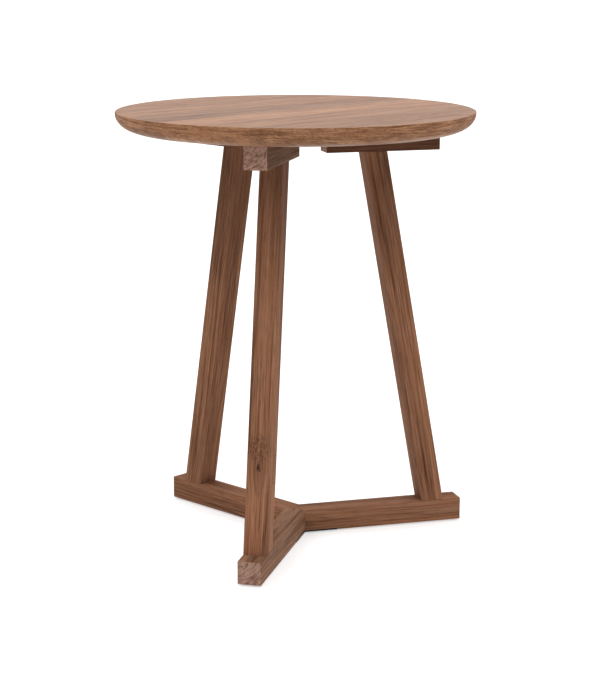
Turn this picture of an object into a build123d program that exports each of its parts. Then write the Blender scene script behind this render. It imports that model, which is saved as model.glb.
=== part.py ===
"""Round side table on a three-legged base, in millimetres.

The origin is on the floor under the middle of the top, and +Z is up. Three arms stand at 120
degrees. Each arm has a foot, a leg that leans inwards, and a bearer under the top. The arm that
is called front points along -Y. The top is glued from staves, which run square to the left arm.
"""

import math
import os

from build123d import *

# Overall sizes
TOP_DIAMETER = 460.0
TABLE_HEIGHT = 562.0  # from the floor, with the glides
ARM_ANGLES = {"front": -90.0, "right": 30.0, "left": 150.0}
ARM_SPACING = 120.0

# Top
TOP_THICKNESS = 25.0
RIM_EASING_WIDTH = 1.5  # takes the sharpness off the upper edge
RIM_EASING_HEIGHT = 1.2
RIM_LAND = 1.0  # upright band below the easing
RIM_UNDERCUT = 32.0  # how far the rounded underside reaches in from the rim
STAVE_COUNT = 8
BLANK_ALLOWANCE = 36.0  # glued blank's width beyond the finished diameter
MIDDLE_SEAM_OFFSET = 4.0  # from the table's axis towards the left arm

# Timber of the base
STOCK_WIDTH = 30.0  # feet, legs and bearers are flush, so they share one width
FOOT_HEIGHT = 30.0
LEG_THICKNESS = 30.0
BEARER_HEIGHT = 30.0
EDGE_EASING = 1.0

# Where the base pieces stand, measured along an arm from the table's axis
FOOT_SETBACK = 2.0  # from the rim of the top to the end of a foot
LEG_INSET = 25.0  # from the end of a foot to the outer face of its leg
LEG_TOP_RADIUS = 119.0  # to the outer face of a leg where it meets its bearer
BEARER_SETBACK = 39.0  # from the rim of the top to the outer end of a bearer
BEARER_INNER_RADIUS = 37.5

# Glides under the feet
GLIDE_DIAMETER = 18.0
GLIDE_THICKNESS = 2.0
GLIDE_EDGE_RADIUS = 0.5
GLIDE_INSET = 15.0  # from the end of a foot to the middle of its glide
NAIL_DIAMETER = 2.0
NAIL_LENGTH = 12.0
NAIL_TIP_LENGTH = 2.0
NAIL_HEAD_DIAMETER = 7.0
NAIL_HEAD_THICKNESS = 0.8
NAIL_COVER = 0.6  # plastic between the nail's head and the floor

# Hub plate, let in flush under the point where the feet meet
PLATE_THICKNESS = 2.0
PLATE_REACH = 54.5
PLATE_CORNER_RADIUS = 2.0
PLATE_SCREW_RADII = (24.0, 44.0)

# Dowels
DOWEL_CHAMFER = 0.8
LEG_DOWEL_DIAMETER = 8.0
LEG_DOWEL_LENGTH = 38.0
LEG_DOWEL_SPACING = 14.0
HUB_DOWEL_DIAMETER = 6.0
HUB_DOWEL_LENGTH = 15.0
HUB_DOWEL_SPACING = 11.0

# Screws
PLATE_SCREW = {"diameter": 3.6, "length": 16.0, "head_diameter": 7.2, "head_height": 1.8}
TOP_SCREW = {"diameter": 4.5, "length": 35.0, "head_diameter": 9.0, "head_height": 2.8}
SCREW_TIP_LENGTH = 4.0
RECESS_WIDTH = 0.9
RECESS_SPAN_SHARE = 0.55  # cross recess, as a share of the head's diameter
RECESS_DEPTH = 1.2
WASHER_DIAMETER = 12.0
WASHER_THICKNESS = 1.0
COUNTERBORE_DIAMETER = 14.0
COUNTERBORE_DEPTH = 10.0
SLOT_TRAVEL = 3.0  # lets the top move as it swells and shrinks
TOP_SCREW_END_DISTANCE = 20.0  # from either end of a bearer to its nearer screw

# Clearances
DOWEL_CLEARANCE = 0.1
GLUE_SPACE = 0.5  # beyond each end of a dowel
SCREW_CLEARANCE = 0.05
WASHER_BORE_CLEARANCE = 0.3
SLOT_CLEARANCE = 0.5
PLATE_CLEARANCE = 0.1
NAIL_CLEARANCE = 0.05

# Places that follow from the sizes above
TOP_RADIUS = TOP_DIAMETER / 2
FOOT_REACH = TOP_RADIUS - FOOT_SETBACK
BEARER_OUTER_RADIUS = TOP_RADIUS - BEARER_SETBACK
FOOT_BOTTOM = GLIDE_THICKNESS
FOOT_TOP = FOOT_BOTTOM + FOOT_HEIGHT
TOP_BOTTOM = TABLE_HEIGHT - TOP_THICKNESS
BEARER_BOTTOM = TOP_BOTTOM - BEARER_HEIGHT
LEG_FOOT_RADIUS = FOOT_REACH - LEG_INSET
LEG_LEAN = math.atan((LEG_FOOT_RADIUS - LEG_TOP_RADIUS) / (BEARER_BOTTOM - FOOT_TOP))
LEG_DEPTH = LEG_THICKNESS / math.cos(LEG_LEAN)  # measured level, along the arm
HALF_WIDTH = STOCK_WIDTH / 2
CROTCH_RADIUS = HALF_WIDTH / math.tan(math.radians(ARM_SPACING / 2))
STAVE_WIDTH = (TOP_DIAMETER + BLANK_ALLOWANCE) / STAVE_COUNT
TOP_SCREW_RADII = (
    BEARER_INNER_RADIUS + TOP_SCREW_END_DISTANCE,
    BEARER_OUTER_RADIUS - TOP_SCREW_END_DISTANCE,
)
TOP_SCREW_SEAT = BEARER_BOTTOM + COUNTERBORE_DEPTH  # floor of the counterbore


def on_arm(shape, angle):
    """Turns a shape that was made along +X onto the arm at this angle."""
    return shape.rotate(Axis.Z, angle)


def on_all_arms(shapes):
    """The shapes on each of the three arms, as one group of separate solids."""
    return [on_arm(shape, angle) for angle in ARM_ANGLES.values() for shape in shapes]


def upright(radius, height, x=0.0, y=0.0, z=0.0):
    """A cylinder that stands on z."""
    return Pos(x, y, z) * Cylinder(radius, height, align=(Align.CENTER, Align.CENTER, Align.MIN))


def cone(bottom_radius, top_radius, height, z=0.0):
    """A cone on the Z axis that stands on z."""
    foot = (Align.CENTER, Align.CENTER, Align.MIN)
    return Pos(0, 0, z) * Cone(bottom_radius, top_radius, height, align=foot)


# Dowels and the holes for them


def dowel(diameter, length):
    """A dowel centred on the origin along Z, with chamfered ends."""
    pin = Cylinder(diameter / 2, length)
    return chamfer(pin.edges().filter_by(GeomType.CIRCLE), DOWEL_CHAMFER)


def dowel_hole(diameter, length):
    """The hole for a dowel, centred on the origin along Z."""
    return Cylinder(diameter / 2 + DOWEL_CLEARANCE, length + 2 * GLUE_SPACE)


def leg_joint_places():
    """Where the dowels go at a leg's lower and upper ends, along +X."""
    lower_x = LEG_FOOT_RADIUS - LEG_DEPTH / 2
    upper_x = LEG_TOP_RADIUS - LEG_DEPTH / 2
    sides = (-LEG_DOWEL_SPACING / 2, LEG_DOWEL_SPACING / 2)
    lower = [Pos(lower_x, y, FOOT_TOP) for y in sides]
    upper = [Pos(upper_x, y, BEARER_BOTTOM) for y in sides]
    return lower, upper


def hub_joint_places(side):
    """Dowel places on one mitre of the foot along +X, square to the mitre. Side is 1 or -1."""
    half_spacing = math.radians(ARM_SPACING / 2)
    mitre_middle = HALF_WIDTH / math.sin(half_spacing) / 2
    x = mitre_middle * math.cos(half_spacing)
    y = mitre_middle * math.sin(half_spacing) * side
    turn = Rot(0, 0, side * (ARM_SPACING / 2 - 90)) * Rot(0, 90, 0)
    middle = FOOT_BOTTOM + (PLATE_THICKNESS + FOOT_HEIGHT) / 2
    heights = (middle - HUB_DOWEL_SPACING / 2, middle + HUB_DOWEL_SPACING / 2)
    return [Pos(x, y, z) * turn for z in heights]


# Screws and the holes for them. A screw points along +Z, with its head's face at the origin.


def screw_body(size, clearance, countersunk):
    """A screw's outer shape, or with a clearance the hole that it fills."""
    head = size["head_diameter"] / 2 + clearance
    shank = size["diameter"] / 2 + clearance
    straight = size["length"] - SCREW_TIP_LENGTH
    if countersunk:
        top = cone(head, shank, size["head_height"])
        body = top + upright(shank, straight - size["head_height"], z=size["head_height"])
        end = straight
    else:
        top = upright(head, size["head_height"])
        body = top + upright(shank, straight, z=size["head_height"])
        end = size["head_height"] + straight
    return body + cone(shank, shank / 3, SCREW_TIP_LENGTH + clearance, z=end)


def screw(size, countersunk):
    """A wood screw with a cross recess. Its thread is a plain shank."""
    body = screw_body(size, 0.0, countersunk)
    if not countersunk:
        rim = body.edges().filter_by(GeomType.CIRCLE).sort_by(Axis.Z)[0]
        body = fillet(rim, size["head_height"] / 3)
    span = size["head_diameter"] * RECESS_SPAN_SHARE
    bottom = (Align.CENTER, Align.CENTER, Align.MIN)
    bars = [Box(span, RECESS_WIDTH, RECESS_DEPTH, align=bottom)]
    bars += [Box(RECESS_WIDTH, span, RECESS_DEPTH, align=bottom)]
    return body - bars


def plate_screw_places():
    return [Pos(x, 0, FOOT_BOTTOM) for x in PLATE_SCREW_RADII]


def top_screw_places():
    below_washer = TOP_SCREW_SEAT - WASHER_THICKNESS - TOP_SCREW["head_height"]
    return [Pos(x, 0, below_washer) for x in TOP_SCREW_RADII]


def top_screw_way(x):
    """Counterbore and slot that a top screw takes through its bearer."""
    bore = upright(COUNTERBORE_DIAMETER / 2, COUNTERBORE_DEPTH, x=x, z=BEARER_BOTTOM)
    width = TOP_SCREW["diameter"] + 2 * SLOT_CLEARANCE
    outline = Pos(x, 0, TOP_SCREW_SEAT) * SlotCenterToCenter(SLOT_TRAVEL, width)
    return [bore, extrude(outline, BEARER_HEIGHT - COUNTERBORE_DEPTH)]


# Top


def top_disc():
    """The finished round top, before it is divided into staves."""
    upper = TOP_BOTTOM + TOP_THICKNESS
    land_top = upper - RIM_EASING_HEIGHT
    land_bottom = land_top - RIM_LAND
    upper_radius = TOP_RADIUS - RIM_EASING_WIDTH
    flat_radius = TOP_RADIUS - RIM_UNDERCUT
    drop = land_bottom - TOP_BOTTOM
    rounded = EllipticalCenterArc(
        (flat_radius, land_bottom), RIM_UNDERCUT, drop, start_angle=270, arc_size=90
    )
    easing = EllipticalCenterArc(
        (upper_radius, land_top), RIM_EASING_WIDTH, RIM_EASING_HEIGHT, start_angle=0, arc_size=90
    )
    section = Curve() + [
        Line((0, TOP_BOTTOM), (flat_radius, TOP_BOTTOM)),
        rounded,
        Line((TOP_RADIUS, land_bottom), (TOP_RADIUS, land_top)),
        easing,
        Line((upper_radius, upper), (0, upper)),
        Line((0, upper), (0, TOP_BOTTOM)),
    ]
    return revolve(Plane.XZ * make_face(section), Axis.Z)


def stave(index, disc):
    """One stave of the top. Index 0 is the one furthest from the left arm."""
    near = MIDDLE_SEAM_OFFSET + (index - STAVE_COUNT / 2) * STAVE_WIDTH
    middle = Pos(near + STAVE_WIDTH / 2, 0, TOP_BOTTOM + TOP_THICKNESS / 2)
    slab = middle * Box(STAVE_WIDTH, 2 * TOP_DIAMETER, 2 * TOP_THICKNESS)
    return disc & on_arm(slab, ARM_ANGLES["left"])


def staves():
    hole = screw_body(TOP_SCREW, SCREW_CLEARANCE, countersunk=False)
    disc = top_disc() - on_all_arms([place * hole for place in top_screw_places()])
    return {f"top_stave_{i + 1}": stave(i, disc) for i in range(STAVE_COUNT)}


# Base timber, each made along +X


def bearer():
    length = BEARER_OUTER_RADIUS - BEARER_INNER_RADIUS
    block = Pos(BEARER_INNER_RADIUS, 0, BEARER_BOTTOM) * Box(
        length, STOCK_WIDTH, BEARER_HEIGHT, align=(Align.MIN, Align.CENTER, Align.MIN)
    )
    upper_face = block.faces().sort_by(Axis.Z)[-1]
    block = fillet(block.edges() - upper_face.edges(), EDGE_EASING)
    _, upper_places = leg_joint_places()
    hole = dowel_hole(LEG_DOWEL_DIAMETER, LEG_DOWEL_LENGTH)
    block -= [place * hole for place in upper_places]
    for x in TOP_SCREW_RADII:
        block -= top_screw_way(x)
    return block


def leg():
    outline = Polyline(
        (LEG_FOOT_RADIUS, FOOT_TOP),
        (LEG_TOP_RADIUS, BEARER_BOTTOM),
        (LEG_TOP_RADIUS - LEG_DEPTH, BEARER_BOTTOM),
        (LEG_FOOT_RADIUS - LEG_DEPTH, FOOT_TOP),
        close=True,
    )
    post = extrude(Plane.XZ * make_face(outline), HALF_WIDTH, both=True)
    ends = post.faces().sort_by(Axis.Z)
    post = fillet(post.edges() - ends[0].edges() - ends[-1].edges(), EDGE_EASING)
    lower_places, upper_places = leg_joint_places()
    hole = dowel_hole(LEG_DOWEL_DIAMETER, LEG_DOWEL_LENGTH)
    return post - [place * hole for place in lower_places + upper_places]


def arm_outline(reach):
    """Plan of one arm of the hub: a bar with a mitred point on the table's axis."""
    return Polyline(
        (0, 0),
        (CROTCH_RADIUS, -HALF_WIDTH),
        (reach, -HALF_WIDTH),
        (reach, HALF_WIDTH),
        (CROTCH_RADIUS, HALF_WIDTH),
        close=True,
    )


def foot():
    bar = extrude(Pos(0, 0, FOOT_BOTTOM) * make_face(arm_outline(FOOT_REACH)), FOOT_HEIGHT)
    mitres = bar.faces().sort_by(Axis.X)[:2]
    bar = fillet(bar.edges() - mitres[0].edges() - mitres[1].edges(), EDGE_EASING)
    recess_length = PLATE_REACH + PLATE_CLEARANCE
    bar -= Pos(0, 0, FOOT_BOTTOM) * Box(
        recess_length, 2 * STOCK_WIDTH, PLATE_THICKNESS, align=(Align.MIN, Align.CENTER, Align.MIN)
    )
    screw_hole = screw_body(PLATE_SCREW, SCREW_CLEARANCE, countersunk=True)
    bar -= [place * screw_hole for place in plate_screw_places()]
    hub_hole = dowel_hole(HUB_DOWEL_DIAMETER, HUB_DOWEL_LENGTH)
    bar -= [place * hub_hole for place in hub_joint_places(1) + hub_joint_places(-1)]
    lower_places, _ = leg_joint_places()
    leg_hole = dowel_hole(LEG_DOWEL_DIAMETER, LEG_DOWEL_LENGTH)
    bar -= [place * leg_hole for place in lower_places]
    return bar - nail(NAIL_CLEARANCE)


# Hub plate, glides and fixings


def hub_plate():
    arm = extrude(Pos(0, 0, FOOT_BOTTOM) * make_face(arm_outline(PLATE_REACH)), PLATE_THICKNESS)
    plate = on_arm(arm, ARM_ANGLES["front"])
    for name in ("right", "left"):
        plate += on_arm(arm, ARM_ANGLES[name])
    upright_edges = plate.edges().filter_by(Axis.Z)
    plate = fillet(upright_edges.filter_by(is_arm_corner), PLATE_CORNER_RADIUS)
    hole = screw_body(PLATE_SCREW, SCREW_CLEARANCE, countersunk=True)
    return plate - on_all_arms([place * hole for place in plate_screw_places()])


def is_arm_corner(edge):
    """True for an upright edge at the outer end of one of the plate's arms."""
    middle = edge.center()
    return math.hypot(middle.X, middle.Y) > PLATE_REACH


def nail(clearance=0.0):
    """The nail of a glide, along +X of its arm, or with a clearance the hole that it fills."""
    x = FOOT_REACH - GLIDE_INSET
    head_bottom = NAIL_COVER - clearance
    head_height = NAIL_HEAD_THICKNESS + 2 * clearance
    head = upright(NAIL_HEAD_DIAMETER / 2 + clearance, head_height, x=x, z=head_bottom)
    straight = NAIL_LENGTH - NAIL_TIP_LENGTH
    radius = NAIL_DIAMETER / 2 + clearance
    shank = upright(radius, straight, x=x, z=NAIL_COVER)
    tip = Pos(x, 0, 0) * cone(radius, radius / 4, NAIL_TIP_LENGTH, z=NAIL_COVER + straight)
    return head + shank + tip


def glide():
    disc = upright(GLIDE_DIAMETER / 2, GLIDE_THICKNESS, x=FOOT_REACH - GLIDE_INSET)
    lower_rim = disc.edges().filter_by(GeomType.CIRCLE).sort_by(Axis.Z)[0]
    return fillet(lower_rim, GLIDE_EDGE_RADIUS) - nail(NAIL_CLEARANCE)


def washer():
    bore = TOP_SCREW["diameter"] / 2 + WASHER_BORE_CLEARANCE
    ring = upright(WASHER_DIAMETER / 2, WASHER_THICKNESS) - upright(bore, WASHER_THICKNESS)
    return [Pos(x, 0, TOP_SCREW_SEAT - WASHER_THICKNESS) * ring for x in TOP_SCREW_RADII]


def fixings():
    """Dowels, screws, washers, nails and glides, each kind as one group."""
    leg_dowel = dowel(LEG_DOWEL_DIAMETER, LEG_DOWEL_LENGTH)
    hub_dowel = dowel(HUB_DOWEL_DIAMETER, HUB_DOWEL_LENGTH)
    lower_places, upper_places = leg_joint_places()
    plate_screw = screw(PLATE_SCREW, countersunk=True)
    top_screw = screw(TOP_SCREW, countersunk=False)
    return {
        "leg_foot_dowels": on_all_arms([place * leg_dowel for place in lower_places]),
        "leg_bearer_dowels": on_all_arms([place * leg_dowel for place in upper_places]),
        "hub_dowels": on_all_arms([place * hub_dowel for place in hub_joint_places(1)]),
        "hub_plate_screws": on_all_arms([place * plate_screw for place in plate_screw_places()]),
        "top_screws": on_all_arms([place * top_screw for place in top_screw_places()]),
        "top_screw_washers": on_all_arms(washer()),
        "foot_glides": on_all_arms([glide()]),
        "glide_nails": on_all_arms([nail()]),
    }


def make_parts():
    """Every node's shape, by name."""
    parts = staves()
    for kind, piece in (("bearer", bearer()), ("leg", leg()), ("foot", foot())):
        for name, angle in ARM_ANGLES.items():
            parts[f"{kind}_{name}"] = on_arm(piece, angle)
    parts["hub_plate"] = hub_plate()
    for name, solids in fixings().items():
        parts[name] = Compound([shape.solid() for shape in solids])
    return parts


def main():
    os.makedirs("parts", exist_ok=True)
    for name, shape in make_parts().items():
        export_step(shape, os.path.join("parts", f"{name}.step"))


main()
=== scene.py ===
"""Looks of the round side table: solid oiled wood, a black steel hub plate and small fixings."""

import math
import random

import bpy
from mathutils import Euler, Matrix, Vector


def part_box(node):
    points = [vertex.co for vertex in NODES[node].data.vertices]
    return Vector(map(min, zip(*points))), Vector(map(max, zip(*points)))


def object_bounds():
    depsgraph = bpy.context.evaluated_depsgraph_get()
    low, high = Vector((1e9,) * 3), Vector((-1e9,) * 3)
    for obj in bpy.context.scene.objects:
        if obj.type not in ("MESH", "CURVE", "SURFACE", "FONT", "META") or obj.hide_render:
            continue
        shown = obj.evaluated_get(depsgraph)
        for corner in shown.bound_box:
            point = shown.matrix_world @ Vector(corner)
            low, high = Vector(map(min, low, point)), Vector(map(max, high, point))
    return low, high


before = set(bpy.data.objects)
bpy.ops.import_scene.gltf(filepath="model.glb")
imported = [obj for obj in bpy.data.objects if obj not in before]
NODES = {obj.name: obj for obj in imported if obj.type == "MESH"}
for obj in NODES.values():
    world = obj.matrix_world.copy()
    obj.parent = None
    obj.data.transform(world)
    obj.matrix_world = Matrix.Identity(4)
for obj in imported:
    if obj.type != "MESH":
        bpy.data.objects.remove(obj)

CAD_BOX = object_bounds()
ARM_ANGLES = {"front": -90.0, "right": 30.0, "left": 150.0}
TABLE_HEIGHT = CAD_BOX[1].z

# Camera, placed round the table's axis
CAMERA_AZIMUTH = 14.498
CAMERA_DISTANCE = 2.3974
CAMERA_HEIGHT = 0.783
CAMERA_PITCH = -12.319
CAMERA_TURN = -0.134  # from the line to the table's axis
CAMERA_SENSOR = 36.0
CAMERA_LENS = 98.69

# Light by direction, where heights are sines of the elevation: a dome that is dim at the horizon
# and brightest overhead, a ring of soft boxes half way up, and a lit wall behind the table that
# the top mirrors
DOME_BASE = 0.10
DOME_OVERHEAD = 1.0
DOME_POWER = 2.0  # of the height
RING_LIGHT = 1.35
RING_LOW = (0.35, 0.60)  # heights at which the ring starts and is full
RING_HIGH = (0.95, 0.80)  # and at which it has ended and is still full
WALL_LIGHT = 0.62
WALL_LOW = (0.0, 0.08)  # heights at which the wall starts and is full
WALL_HIGH = (0.65, 0.325)  # and at which it has ended and is still full
WALL_SIDES = (0.2, 0.9)  # cosines to straight behind, where the wall has faded and where it is full
FLOOR_SIZE = 80.0
FLOOR_COLOUR = (0.60, 0.60, 0.60, 1.0)
FLOOR_GLOW = 0.50  # the table stands on a lit white sheet, so its shadows are faint

# Wood, in linear colour
TOP_WOOD = {
    "light": (0.338, 0.161, 0.079, 1.0),
    "dark": (0.128, 0.050, 0.021, 1.0),
    "pale": (0.470, 0.255, 0.135, 1.0),
    "end": (0.330, 0.158, 0.078, 1.0),
    "end_dark": (0.140, 0.055, 0.025, 1.0),
    "mottle": 0.15,
    "clouds": 0.17,
    "threads": 0.46,
    "flecks": (3.6, 5.0),
    "roughness": 0.42,
    "shine": 0.30,
}
BASE_WOOD = {
    "light": (0.262, 0.122, 0.067, 1.0),
    "dark": (0.082, 0.033, 0.017, 1.0),
    "pale": (0.395, 0.222, 0.136, 1.0),
    "end": (0.378, 0.228, 0.172, 1.0),
    "end_dark": (0.104, 0.047, 0.031, 1.0),
    "mottle": 0.30,
    "clouds": 0.34,
    "threads": 0.33,
    "flecks": (1.3, 5.0),
    "roughness": 0.56,
    "shine": 0.03,
}
WOOD_PORE = (0.035, 0.014, 0.008, 1.0)
WOOD_WARM = (1.10, 0.90, 0.74, 1.0)
GLUE_DARK = (0.060, 0.030, 0.018, 1.0)
PLAIN = (1.0, 1.0, 1.0)

# Figure of the wood: layers of noise drawn out along the grain. Each has its cells per metre along
# and across the grain, its detail and its roughness.
FIGURE = {
    "broad": (2.5, 34.0, 2.0, 0.50),
    "band": (5.5, 130.0, 2.0, 0.55),
    "streak": (14.0, 520.0, 2.0, 0.60),
    "fine": (30.0, 1100.0, 2.0, 0.60),
    "threads": (8.0, 480.0, 2.0, 0.60),
    "pores": (45.0, 1500.0, 1.0, 0.50),
    "warm": (4.0, 60.0, 1.0, 0.50),
    "mottle": (120.0, 230.0, 2.0, 0.60),
}
FIGURE_SHOWS = {  # the noise at which a layer starts to show, and at which it shows fully
    "broad": (0.38, 0.68),
    "band": (0.42, 0.70),
    "streak": (0.46, 0.68),
    "threads": (0.54, 0.68),
    "pores": (0.60, 0.72),
    "warm": (0.45, 0.75),
    "mottle": (0.40, 0.66),
}
FIGURE_SHARES = {"rings": 0.34, "band": 0.36, "streak": 0.36, "fine": 0.60, "pores": 0.55, "warm": 0.40}
NOISE_MIDDLE = 0.5

# Growth rings, counted in years from the pith
RING_WIDTH = 0.0036  # of a year's growth
WAVE_ACROSS = (2.2, 9.0, 0.030)  # cells per metre along and across the log, and its size
WAVE_UP = (3.1, 11.0, 0.022)
UNEVEN_CELLS = 0.45  # per year
UNEVEN_YEARS = 1.8
LATE_WOOD = (0.25, 0.93)  # part of the year over which the wood darkens
YEAR_END = (1.0, 0.95)  # and at its end, where the next pale wood starts
STRONG_CELLS = 0.31  # per year
STRONG_YEARS = (0.35, 0.70, 0.25, 1.0)  # from faint rings to full ones

# End grain
END_FACING = (0.74, 0.97)  # cosine from a face's normal to the grain, from side to end grain
END_FLECKS = (0.44, 0.62, 0.0, 0.52)
END_RINGS = 0.22

# Surface of the wood
RELIEF = {"fine": 0.5, "pores": -0.8, "rings": -0.35}
RELIEF_STRENGTH = 0.30
RELIEF_DEPTH = 0.00022
ROUGH_BAND = (0.3, 0.8)  # of the band layer, from the smoothest wood to the roughest
ROUGH_SPREAD = 0.10
ROUGH_PORES = 0.16

# Heights at which a piece has its three tones, which paint shade: on the legs, darker towards the top
# that shades them, and on the staves, darker down the rim to the underside
BASE_SHADE_SPAN = (0.05, 0.27, TABLE_HEIGHT - 0.08)
TOP_SHADE_SPAN = (TABLE_HEIGHT - 0.018, TABLE_HEIGHT - 0.006, TABLE_HEIGHT - 0.0012)

# Top: staves glued side by side, with an oiled face and a turned rim
STAVE_WIDTH = 0.062
STAVE_TONES = (1.02, 0.92, 1.08, 1.23, 0.87, 1.07, 0.98, 1.03)
STAVE_PITH_ACROSS = 0.03
STAVE_PITH_DOWN = (0.03, 0.09)
MIDDLE_SEAM = 0.004  # from the table's axis towards the left arm
SEAM_EDGES = (0.00045, 0.00010)  # from a seam to where its dark line ends and where it is full
SEAM_SHARES = (0.75, 0.20)  # on the face and on the rim
RIM_PAINTED_SHADE = 0.77  # painted shade on the turned rim and the underside, beside the oiled face
RIM_SHINE = 0.14
RIM_ROUGHNESS = 0.20  # more than the face has
RIM_NORMAL = (0.98, 0.72)  # upward part of the normal, from the flat faces to the rim
RIM_STREAKS = (28.0, 28.0, 500.0)  # cells per metre
RIM_PATCHES = (22.0, 22.0, 30.0)
RIM_PATCHY = (0.30, 0.65, 0.45, 1.0)
RIM_DARK = (0.51, 0.58)
RIM_DARK_SHARE = 0.80
RIM_PALE = (0.46, 0.38)
RIM_PALE_SHARE = 0.45

# Base, with the knot low on its front leg and the curly grain above that knot
LEG_DEPTH = 0.03046  # level depth of a leaning leg, which its box has besides the lean
BASE_PITH = (0.03, 0.06)
SEEDS_PER_ARM = 10
BASE_SEEDS = {"foot_front": 57}  # its figure paints a lighter side and a darker upper face, as painted light from the side
BASE_SHEEN_TINTS = {"bearer_front": (0.99, 1.12, 1.18), "foot_front": (0.98, 1.10, 1.18)}  # greyer colour, a painted sheen on faces seen side on
# Tones at the bottom, middle and top of each piece, partly its own wood and partly painted light: the
# bearers are painted dark as shade under the top, each leg is painted darker towards the top it stands
# under, and the front foot is painted lighter
BASE_TONES_AND_PAINTED_LIGHT = {
    "bearer": {"front": (0.76,) * 3, "right": (0.50,) * 3, "left": (0.66,) * 3},
    "leg": {"front": (1.32, 1.02, 0.81), "right": (1.07, 1.21, 0.88), "left": (1.08, 1.13, 0.74)},
    "foot": {"front": (1.10,) * 3, "right": (0.98,) * 3, "left": (1.01,) * 3},
}
FRONT_LEG_KNOT = {
    "along": -0.1355,  # from the leg's middle
    "across": 0.0,
    "radius": 0.0036,
    "core": 0.35,  # share of the radius that is fully dark
    "ragged": 0.0065,  # how far the knot's edge wanders
    "edge_cells": (260.0, 420.0, 300.0),  # per metre
    "length": 1.9,  # of the bend round it, beside its width
    "reach": 0.024,
    "pull": 0.60,
    "shade": 0.20,
    "collar": 0.022,  # from the knot to the middle of the curly grain
}
CURL = {
    "length": 1.4,  # beside its width
    "reach": (0.019, 0.008),  # from its middle to where it has faded and where it is full
    "loops": 430.0,  # per metre from its middle
    "lines": (0.35, 0.90, 0.26, 0.74),
    "wander": 0.012,
    "wander_cells": (110.0, 130.0, 0.0),  # per metre, and the slice of the noise
    "patch_cells": (190.0, 240.0, 7.0),
    "patchy": (0.32, 0.62, 0.35, 1.0),
}

# Fixings, in linear colour
POWDER_BLACK = (0.004, 0.004, 0.005, 1.0)
POWDER_DUSTY = (0.010, 0.010, 0.009, 1.0)
BLACK_OXIDE = (0.020, 0.020, 0.022, 1.0)
BLACK_OXIDE_WORN = (0.050, 0.046, 0.042, 1.0)
ZINC = (0.56, 0.57, 0.58, 1.0)
ZINC_DULL = (0.44, 0.45, 0.46, 1.0)
BEECH = (0.54, 0.37, 0.22, 1.0)
BEECH_DARK = (0.46, 0.30, 0.17, 1.0)
BEECH_FLECK = (0.28, 0.15, 0.08, 1.0)
NYLON = (0.028, 0.026, 0.024, 1.0)
NYLON_SCUFFED = (0.060, 0.056, 0.052, 1.0)
WHITE = (1.0, 1.0, 1.0, 1.0)


# Node helpers


class Shader:
    """A material and short ways to add and join its nodes."""

    def __init__(self, name):
        self.material = bpy.data.materials.new(name)
        self.material.use_nodes = True
        self.tree = self.material.node_tree
        self.surface = self.tree.nodes["Principled BSDF"]

    @classmethod
    def of_world(cls, world):
        """The same for a world's nodes."""
        shader = cls.__new__(cls)
        shader.tree = world.node_tree
        shader.surface = shader.tree.nodes["Background"]
        return shader

    def set(self, socket, value):
        """Sets a socket to a number, a vector or a colour, or joins it to another node's output."""
        if isinstance(value, bpy.types.NodeSocket):
            self.tree.links.new(value, socket)
        else:
            socket.default_value = value

    def finish(self, **values):
        """Sets sockets of the surface shader by name, with _ for a space."""
        for name, value in values.items():
            self.set(self.surface.inputs[name.replace("_", " ")], value)
        return self.material

    def math(self, operation, a, b=0.0, clamp=False):
        node = self.tree.nodes.new("ShaderNodeMath")
        node.operation = operation
        node.use_clamp = clamp
        self.set(node.inputs[0], a)
        self.set(node.inputs[1], b)
        return node.outputs[0]

    def vector(self, operation, a, b=(0.0, 0.0, 0.0)):
        node = self.tree.nodes.new("ShaderNodeVectorMath")
        node.operation = operation
        self.set(node.inputs[0], a)
        self.set(node.inputs[1], b)
        return node.outputs["Value" if operation in ("LENGTH", "DOT_PRODUCT") else "Vector"]

    def split(self, value):
        node = self.tree.nodes.new("ShaderNodeSeparateXYZ")
        self.set(node.inputs[0], value)
        return node.outputs

    def join(self, x, y, z):
        node = self.tree.nodes.new("ShaderNodeCombineXYZ")
        for socket, value in zip(node.inputs, (x, y, z)):
            self.set(socket, value)
        return node.outputs[0]

    def ramp(self, value, low, high, to_low=0.0, to_high=1.0):
        """A smooth step from to_low at low to to_high at high."""
        node = self.tree.nodes.new("ShaderNodeMapRange")
        node.interpolation_type = "SMOOTHSTEP"
        for socket, number in zip(node.inputs, (value, low, high, to_low, to_high)):
            self.set(socket, number)
        return node.outputs[0]

    def total(self, *values, clamp=False):
        """The sum of values, held between 0 and 1 if it is clamped."""
        result, *others = values
        for value in others:
            result = self.math("ADD", result, value)
        return self.math("ADD", result, 0.0, clamp=True) if clamp else result

    def noise(self, place, detail=2.0, roughness=0.5):
        """Noise of scale 1 at a place, about 0.5 on average."""
        node = self.tree.nodes.new("ShaderNodeTexNoise")
        self.set(node.inputs["Vector"], place)
        self.set(node.inputs["Scale"], 1.0)
        self.set(node.inputs["Detail"], detail)
        self.set(node.inputs["Roughness"], roughness)
        return node.outputs["Fac"]

    def cells(self, per_metre, detail=2.0, roughness=0.5):
        """Noise in the table's frame, with its cells per metre along each axis."""
        return self.noise(self.vector("MULTIPLY", self.place(), per_metre), detail, roughness)

    def mix(self, share, a, b, blend="MIX"):
        node = self.tree.nodes.new("ShaderNodeMix")
        node.data_type = "RGBA"
        node.blend_type = blend
        self.set(node.inputs["Factor"], share)
        self.set(node.inputs["A"], a)
        self.set(node.inputs["B"], b)
        return node.outputs["Result"]

    def bump(self, height, strength, distance):
        node = self.tree.nodes.new("ShaderNodeBump")
        self.set(node.inputs["Height"], height)
        self.set(node.inputs["Strength"], strength)
        self.set(node.inputs["Distance"], distance)
        return node.outputs["Normal"]

    def place(self):
        return self.tree.nodes.new("ShaderNodeTexCoord").outputs["Object"]

    def normal(self):
        return self.tree.nodes.new("ShaderNodeTexCoord").outputs["Normal"]


# Wood


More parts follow.
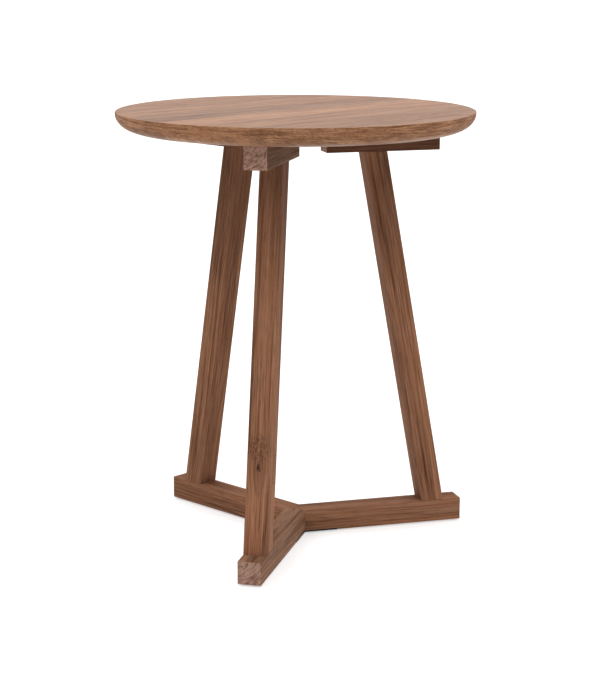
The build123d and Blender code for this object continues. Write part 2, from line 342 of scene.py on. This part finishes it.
class Timber:
    """A solid piece of wood's own coordinates, metres along and across its grain, and its log."""

    def __init__(self, shader, middle, turn, pith, seed):
        s = shader
        draw = random.Random(seed)
        mapping = s.tree.nodes.new("ShaderNodeMapping")
        mapping.vector_type = "TEXTURE"
        s.set(mapping.inputs["Vector"], s.place())
        s.set(mapping.inputs["Location"], tuple(middle))
        s.set(mapping.inputs["Rotation"], tuple(turn))
        self.shader = s
        self.pith = pith
        self.own = mapping.outputs["Vector"]
        self.shift = tuple(draw.uniform(-20, 20) for _ in range(3))
        self.lean = draw.uniform(-0.05, 0.05)
        self.grain = Vector((1, 0, 0))
        self.grain.rotate(Euler(turn))
        self.layers = {}

    def stretched(self, along, across):
        """The piece's own place in cells of noise, moved to a stretch of noise that is its own."""
        moved = self.shader.vector("ADD", self.own, self.shift)
        return self.shader.vector("MULTIPLY", moved, (along, across, across))

    def figure(self, layer):
        """The noise of a layer of figure, made once for each piece."""
        if layer not in self.layers:
            along, across, detail, roughness = FIGURE[layer]
            self.layers[layer] = self.shader.noise(self.stretched(along, across), detail, roughness)
        return self.layers[layer]

    def shows(self, layer, share=1.0):
        """How much a layer of figure shows, from 0 to its share."""
        return self.shader.ramp(self.figure(layer), *FIGURE_SHOWS[layer], 0.0, share)

    def bend_round(self, knot):
        """Bends the grain round a knot. Returns how near the knot is, from 0 to 1 inside it."""
        s = self.shader
        x, y, z = s.split(self.own)
        away_x = s.math("DIVIDE", s.math("SUBTRACT", x, knot["along"]), knot["length"])
        away_y = s.math("SUBTRACT", y, knot["across"])
        far = s.vector("LENGTH", s.join(away_x, away_y, 0.0))
        pull = s.ramp(far, knot["reach"], 0.0, 0.0, knot["pull"])
        squeezed = s.math("MULTIPLY", away_y, s.math("SUBTRACT", 1.0, pull))
        self.own = s.join(x, s.math("ADD", squeezed, knot["across"]), z)
        ragged = s.noise(s.vector("MULTIPLY", s.join(x, y, z), knot["edge_cells"]))
        wander = s.math("MULTIPLY", s.math("SUBTRACT", ragged, NOISE_MIDDLE), knot["ragged"])
        core = s.ramp(s.math("ADD", far, wander), knot["radius"], knot["radius"] * knot["core"])
        shade = s.ramp(far, knot["reach"], 0.0, 0.0, knot["shade"])
        return s.math("MAXIMUM", s.math("MAXIMUM", core, shade), self.curl(knot, x, away_y))

    def curl(self, knot, x, away_y):
        """Dark curly grain beside a knot, where the branch's collar has been cut through."""
        s = self.shader
        away_x = s.math("SUBTRACT", x, knot["along"] + knot["collar"])
        far = s.vector("LENGTH", s.join(s.math("DIVIDE", away_x, CURL["length"]), away_y, 0.0))
        spot = s.join(x, away_y, 1.0)
        wander = s.noise(s.vector("MULTIPLY", spot, CURL["wander_cells"]))
        wander = s.math("MULTIPLY", wander, CURL["wander"])
        loops = s.math("MULTIPLY", s.math("ADD", far, wander), CURL["loops"])
        lines = s.ramp(s.math("FRACT", loops), *CURL["lines"])
        patches = s.noise(s.vector("MULTIPLY", spot, CURL["patch_cells"]))
        lines = s.math("MULTIPLY", lines, s.ramp(patches, *CURL["patchy"]))
        return s.math("MULTIPLY", lines, s.ramp(far, *CURL["reach"]))

    def wave(self, along, across, size):
        """A slow wave of the log, as metres to one side."""
        s = self.shader
        noise = s.noise(self.stretched(along, across))
        return s.math("MULTIPLY", s.math("SUBTRACT", noise, NOISE_MIDDLE), size)

    def years(self):
        """Age along the radius in years, bent by slow waves along the log and uneven in width."""
        s = self.shader
        x, y, z = s.split(self.own)
        leaning = s.math("MULTIPLY", x, self.lean)
        across = s.total(s.math("SUBTRACT", y, self.pith[0]), self.wave(*WAVE_ACROSS), leaning)
        up = s.total(s.math("SUBTRACT", z, self.pith[1]), self.wave(*WAVE_UP))
        radius = s.vector("LENGTH", s.join(0.0, across, up))
        self.angle = s.math("ARCTAN2", across, up)
        even = s.math("DIVIDE", radius, RING_WIDTH)
        uneven = s.noise(s.join(s.math("MULTIPLY", even, UNEVEN_CELLS), 0.0, 0.0))
        return s.math("ADD", even, s.math("MULTIPLY", uneven, UNEVEN_YEARS))


def ring_lines(s, years):
    """Late wood, dark towards the end of each year, with strong and weak years."""
    season = s.math("FRACT", years)
    late = s.math("MULTIPLY", s.ramp(season, *LATE_WOOD), s.ramp(season, *YEAR_END))
    slice_of_noise = 3.0
    strong = s.noise(s.join(s.math("MULTIPLY", years, STRONG_CELLS), slice_of_noise, 0.0), detail=1.0)
    return s.math("MULTIPLY", late, s.ramp(strong, *STRONG_YEARS))


def long_grain(timber, palette, rings):
    """Colour of the wood along its grain."""
    s = timber.shader
    fine = s.math("SUBTRACT", timber.figure("fine"), NOISE_MIDDLE)
    dark = s.total(
        s.math("MULTIPLY", rings, FIGURE_SHARES["rings"]),
        timber.shows("band", FIGURE_SHARES["band"]),
        timber.shows("streak", FIGURE_SHARES["streak"]),
        timber.shows("broad", palette["clouds"]),
        s.math("MULTIPLY", fine, FIGURE_SHARES["fine"]),
        clamp=True,
    )
    colour = s.mix(dark, palette["light"], palette["dark"])
    colour = s.mix(timber.shows("threads", palette["threads"]), colour, palette["pale"])
    colour = s.mix(timber.shows("pores", FIGURE_SHARES["pores"]), colour, WOOD_PORE)
    return s.mix(timber.shows("warm", FIGURE_SHARES["warm"]), colour, WOOD_WARM, "MULTIPLY")


def end_grain(timber, palette, years, rings):
    """Sawn across the grain, wood shows dark flecks along its rings and a pinkish mottle."""
    s = timber.shader
    per_year, per_turn = palette["flecks"]
    flecks = s.join(s.math("MULTIPLY", years, per_year), s.math("MULTIPLY", timber.angle, per_turn), 0.0)
    flecks = s.noise(flecks, detail=2.0, roughness=0.6)
    dark = s.total(
        timber.shows("mottle", palette["mottle"]),
        s.ramp(flecks, *END_FLECKS),
        s.math("MULTIPLY", rings, END_RINGS),
        clamp=True,
    )
    return s.mix(dark, palette["end"], palette["end_dark"])


def paint_tone_and_light(s, colour, span, tone_and_painted_light, sheen_tint):
    """A colour given its piece's tone and made lighter or darker by height, which paints shade under the
    top and down the rim, and tinted grey, which paints a sheen.
    """
    low, middle, high = span
    height = s.split(s.place())[2]
    level = s.total(
        s.ramp(height, low, middle, tone_and_painted_light[0], tone_and_painted_light[1]),
        s.ramp(height, middle, high, 0.0, tone_and_painted_light[2] - tone_and_painted_light[1]),
    )
    return s.mix(1.0, colour, s.vector("MULTIPLY", s.join(level, level, level), sheen_tint), "MULTIPLY")


def seam_line(s):
    """How near a glue line between two staves is, from 0 to 1."""
    angle = math.radians(ARM_ANGLES["left"])
    across = s.vector("DOT_PRODUCT", s.place(), (math.cos(angle), math.sin(angle), 0.0))
    staves = s.math("DIVIDE", s.math("SUBTRACT", across, MIDDLE_SEAM), STAVE_WIDTH)
    part = s.math("ABSOLUTE", s.math("SUBTRACT", s.math("FRACT", s.math("ADD", staves, 0.5)), 0.5))
    return s.ramp(s.math("MULTIPLY", part, STAVE_WIDTH), *SEAM_EDGES)


def turned_rim(s, palette, colour):
    """Adds glue lines, and short level streaks all the way round the rim. Returns the rim too."""
    streaks = s.cells(RIM_STREAKS, detail=3.0, roughness=0.7)
    patches = s.cells(RIM_PATCHES, detail=1.0)
    rim = s.ramp(s.math("ABSOLUTE", s.split(s.normal())[2]), *RIM_NORMAL)
    strength = s.math("MULTIPLY", rim, s.ramp(patches, *RIM_PATCHY))
    dark = s.math("MULTIPLY", s.ramp(streaks, *RIM_DARK), strength)
    pale = s.math("MULTIPLY", s.ramp(streaks, *RIM_PALE), strength)
    colour = s.mix(s.math("MULTIPLY", dark, RIM_DARK_SHARE), colour, palette["dark"])
    colour = s.mix(s.math("MULTIPLY", pale, RIM_PALE_SHARE), colour, palette["pale"])
    seam = s.math("MULTIPLY", seam_line(s), s.ramp(rim, 0.0, 1.0, *SEAM_SHARES))
    return s.mix(seam, colour, GLUE_DARK), rim


def relief(timber, rings):
    """Bumps of the wood: its fine grain raised, its pores and its rings sunk."""
    s = timber.shader
    height = s.total(
        s.math("MULTIPLY", timber.figure("fine"), RELIEF["fine"]),
        timber.shows("pores", RELIEF["pores"]),
        s.math("MULTIPLY", rings, RELIEF["rings"]),
    )
    return s.bump(height, RELIEF_STRENGTH, RELIEF_DEPTH)


def wood(name, palette, middle, turn, pith, seed, tone_and_painted_light, sheen_tint=PLAIN, knot=None, top=False):
    """Solid wood that is cut from a log, so its growth rings run on round every edge.

    The grain runs along the piece's own X axis, which turn gives in the table's frame. The pith is
    the log's middle, across the grain from the piece's own middle. The tones give how light the wood
    is at the bottom, the middle and the top of its height span, partly its own tone and partly painted
    light and shade, and the tint greys its colour as a painted sheen.
    """
    s = Shader(name)
    timber = Timber(s, middle, turn, pith, seed)
    in_knot = timber.bend_round(knot) if knot else None
    years = timber.years()
    rings = ring_lines(s, years)
    colour = long_grain(timber, palette, rings)
    if knot:
        colour = s.mix(in_knot, colour, WOOD_PORE)
    # Painted light and shade by height, and a grey tint that paints a sheen
    colour = paint_tone_and_light(s, colour, TOP_SHADE_SPAN if top else BASE_SHADE_SPAN, tone_and_painted_light, sheen_tint)
    facing = s.math("ABSOLUTE", s.vector("DOT_PRODUCT", s.normal(), tuple(timber.grain)))
    colour = s.mix(s.ramp(facing, *END_FACING), colour, end_grain(timber, palette, years, rings))

    smooth = palette["roughness"]
    roughness = s.ramp(timber.figure("band"), *ROUGH_BAND, smooth, smooth + ROUGH_SPREAD)
    shine = palette["shine"]
    if top:
        colour, rim = turned_rim(s, palette, colour)
        roughness = s.math("ADD", roughness, s.math("MULTIPLY", rim, RIM_ROUGHNESS))
        shine = s.ramp(rim, 0.0, 1.0, shine, RIM_SHINE)
    return s.finish(
        Base_Color=colour,
        Roughness=s.math("ADD", roughness, timber.shows("pores", ROUGH_PORES)),
        Specular_IOR_Level=shine,
        Normal=relief(timber, rings),
    )


def paint(node, material):
    """Gives every part of a CAD node one material."""
    slots = NODES[node].material_slots
    for slot in slots:
        slot.material = material


def middle_of(node):
    low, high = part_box(node)
    return (low + high) / 2


def paint_top():
    """Each stave comes from its own log, with its own tone. The grain runs square to the left arm."""
    names = sorted(name for name in NODES if name.startswith("top_stave_"))
    turn = (0.0, 0.0, math.radians(ARM_ANGLES["left"] - 90.0))
    for index, name in enumerate(names):
        draw = random.Random(40 + index)
        across = draw.uniform(-STAVE_PITH_ACROSS, STAVE_PITH_ACROSS)
        pith = (across, -draw.uniform(*STAVE_PITH_DOWN))
        face = STAVE_TONES[index]
        # The stave's own tone on its face, with painted shade down the rim to the underside
        tone_and_painted_light = (face * RIM_PAINTED_SHADE, face * (RIM_PAINTED_SHADE + 1.0) / 2, face)
        stave = wood(name, TOP_WOOD, middle_of(name), turn, pith, 70 + index, tone_and_painted_light, top=True)
        paint(name, stave)


def leg_turn(arm):
    """Euler turn that brings X along a leg, which leans towards the table's axis."""
    low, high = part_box("leg_front")
    run = (high.y - low.y) - LEG_DEPTH
    lean = math.atan2(run, high.z - low.z)
    along = Matrix.Rotation(math.radians(ARM_ANGLES[arm]), 4, "Z")
    tip = Matrix.Rotation(-(math.pi / 2 + lean), 4, "Y")
    return (along @ tip).to_euler()


def paint_base():
    """Bearers and feet have level grain, and each leg's grain runs up it."""
    for index, (arm, angle) in enumerate(ARM_ANGLES.items()):
        level = (0.0, 0.0, math.radians(angle))
        turns = {"bearer": level, "leg": tuple(leg_turn(arm)), "foot": level}
        draw = random.Random(90 + index)
        for offset, (kind, turn) in enumerate(turns.items()):
            name = f"{kind}_{arm}"
            pith = (-draw.uniform(*BASE_PITH), draw.uniform(*BASE_PITH))
            knot = FRONT_LEG_KNOT if name == "leg_front" else None
            # Tones that are partly the wood's own and partly painted light and shade
            tone_and_painted_light = BASE_TONES_AND_PAINTED_LIGHT[kind][arm]
            seed = BASE_SEEDS.get(name, SEEDS_PER_ARM * index + offset)
            # A grey tint on some pieces paints a sheen
            sheen_tint = BASE_SHEEN_TINTS.get(name, PLAIN)
            piece = wood(name, BASE_WOOD, middle_of(name), turn, pith, seed, tone_and_painted_light, sheen_tint, knot)
            paint(name, piece)


# Fixings


def powder_coat():
    """Matt black with the fine dimples of a baked powder, and a little dust."""
    s = Shader("black_steel")
    dimples = s.cells((1400.0, 1400.0, 1400.0), detail=1.0)
    dust = s.cells((60.0, 60.0, 60.0), detail=3.0)
    return s.finish(
        Base_Color=s.mix(s.ramp(dust, 0.5, 0.8), POWDER_BLACK, POWDER_DUSTY),
        Roughness=s.ramp(dust, 0.3, 0.8, 0.50, 0.64),
        Specular_IOR_Level=0.12,
        Normal=s.bump(dimples, 0.35, 0.0001),
    )


def turned_metal(name, colour, worn, roughness):
    """Plated or blackened steel with faint turning marks and cloudy wear."""
    s = Shader(name)
    clouds = s.cells((300.0, 300.0, 300.0), detail=3.0)
    marks = s.cells((400.0, 400.0, 4000.0), detail=1.0)
    return s.finish(
        Base_Color=s.mix(s.ramp(clouds, 0.45, 0.75), colour, worn),
        Roughness=s.ramp(clouds, 0.3, 0.7, roughness, roughness + 0.14),
        Metallic=1.0,
        Normal=s.bump(marks, 0.15, 0.00005),
    )


def beech():
    """Pale dowel wood with its short brown flecks."""
    s = Shader("dowel_wood")
    flecks = s.cells((900.0, 900.0, 260.0))
    broad = s.cells((120.0, 120.0, 30.0))
    colour = s.mix(s.ramp(broad, 0.3, 0.7), BEECH, BEECH_DARK)
    colour = s.mix(s.ramp(flecks, 0.60, 0.70, 0.0, 0.6), colour, BEECH_FLECK)
    return s.finish(Base_Color=colour, Roughness=0.6, Normal=s.bump(flecks, 0.2, 0.0001))


def nylon():
    """Dark moulded plastic, scuffed where it slides on the floor."""
    s = Shader("glide_plastic")
    grain = s.cells((1200.0, 1200.0, 1200.0), detail=1.0)
    scuffs = s.cells((90.0, 700.0, 90.0), detail=3.0)
    return s.finish(
        Base_Color=s.mix(s.ramp(scuffs, 0.55, 0.75), NYLON, NYLON_SCUFFED),
        Roughness=s.ramp(scuffs, 0.3, 0.7, 0.48, 0.66),
        Normal=s.bump(grain, 0.25, 0.0001),
    )


def paint_fixings():
    black = turned_metal("black_screw", BLACK_OXIDE, BLACK_OXIDE_WORN, 0.34)
    zinc = turned_metal("zinc_steel", ZINC, ZINC_DULL, 0.28)
    pale = beech()
    paint("hub_plate", powder_coat())
    paint("hub_plate_screws", black)
    for name in ("top_screws", "top_screw_washers", "glide_nails"):
        paint(name, zinc)
    for name in ("hub_dowels", "leg_foot_dowels", "leg_bearer_dowels"):
        paint(name, pale)
    paint("foot_glides", nylon())


# Stage


def make_floor():
    """A pale sheet that glows a little."""
    bpy.ops.mesh.primitive_plane_add(size=FLOOR_SIZE)
    floor = bpy.context.object
    floor.name = "floor"
    s = Shader("floor")
    glow = {"Emission_Color": WHITE, "Emission_Strength": FLOOR_GLOW}
    floor.data.materials.append(s.finish(Base_Color=FLOOR_COLOUR, Roughness=0.9, **glow))


def make_sky():
    """The dome's light, by direction. The camera itself sees plain white."""
    world = bpy.data.worlds.new("studio")
    world.use_nodes = True
    s = Shader.of_world(world)
    towards = s.tree.nodes.new("ShaderNodeTexCoord").outputs["Generated"]
    height = s.math("MAXIMUM", s.split(towards)[2], 0.0)
    azimuth = math.radians(CAMERA_AZIMUTH)
    behind = (-math.sin(azimuth), math.cos(azimuth), 0.0)
    depth = s.vector("DOT_PRODUCT", towards, behind)
    ring = s.math("MULTIPLY", s.ramp(height, *RING_LOW), s.ramp(height, *RING_HIGH))
    wall = s.math("MULTIPLY", s.ramp(height, *WALL_LOW), s.ramp(height, *WALL_HIGH))
    wall = s.math("MULTIPLY", wall, s.ramp(depth, *WALL_SIDES))
    light = s.total(
        s.math("MULTIPLY", s.math("POWER", height, DOME_POWER), DOME_OVERHEAD),
        DOME_BASE,
        s.math("MULTIPLY", ring, RING_LIGHT),
        s.math("MULTIPLY", wall, WALL_LIGHT),
    )
    seen = s.tree.nodes.new("ShaderNodeLightPath").outputs["Is Camera Ray"]
    s.set(s.surface.inputs["Color"], WHITE)
    s.set(s.surface.inputs["Strength"], s.math("MAXIMUM", light, seen))
    bpy.context.scene.world = world


def make_camera():
    data = bpy.data.cameras.new("camera")
    data.lens = CAMERA_LENS
    data.sensor_width = CAMERA_SENSOR
    camera = bpy.data.objects.new("camera", data)
    azimuth = math.radians(CAMERA_AZIMUTH)
    camera.location = (
        CAMERA_DISTANCE * math.sin(azimuth),
        -CAMERA_DISTANCE * math.cos(azimuth),
        CAMERA_HEIGHT,
    )
    camera.rotation_euler = (
        math.radians(90.0 + CAMERA_PITCH),
        0.0,
        azimuth + math.radians(CAMERA_TURN),
    )
    bpy.context.scene.collection.objects.link(camera)
    bpy.context.scene.camera = camera


bpy.context.scene.view_settings.view_transform = "Standard"
make_camera()
make_sky()
make_floor()
paint_top()
paint_base()
paint_fixings()
